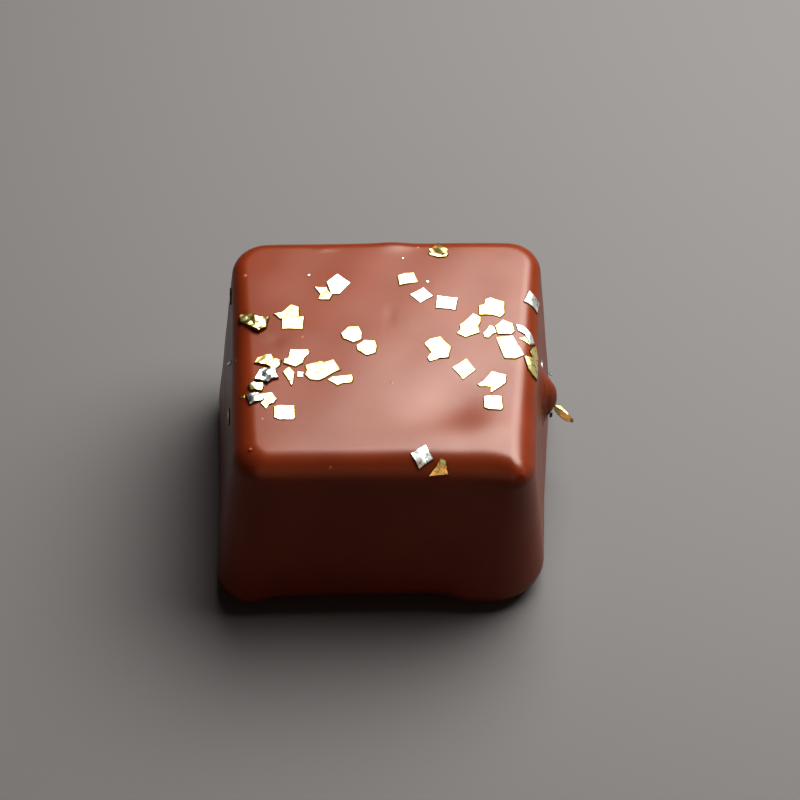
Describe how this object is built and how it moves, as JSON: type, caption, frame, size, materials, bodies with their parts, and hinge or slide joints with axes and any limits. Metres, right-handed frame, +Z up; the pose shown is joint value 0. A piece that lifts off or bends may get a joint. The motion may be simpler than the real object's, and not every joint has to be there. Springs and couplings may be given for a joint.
{
  "type": "square enrobed chocolate praline",
  "caption": "Square milk chocolate praline with soft rounded edges, slightly flared sides, and flecks of gold and silver leaf scattered over the top.",
  "frame": {"origin": "on the flat base, under the middle of the praline", "axes": "+Z up from the base, -Y towards the front that the picture shows, +X to its right"},
  "size_m": [0.0291, 0.0258, 0.0177],
  "materials": {
    "chocolate": "satin",
    "gold_leaf": "bright crinkled leaf",
    "silver_leaf": "bright crinkled leaf"
  },
  "bodies": {
    "root": {"praline": "chocolate"}
  },
  "joints": []
}
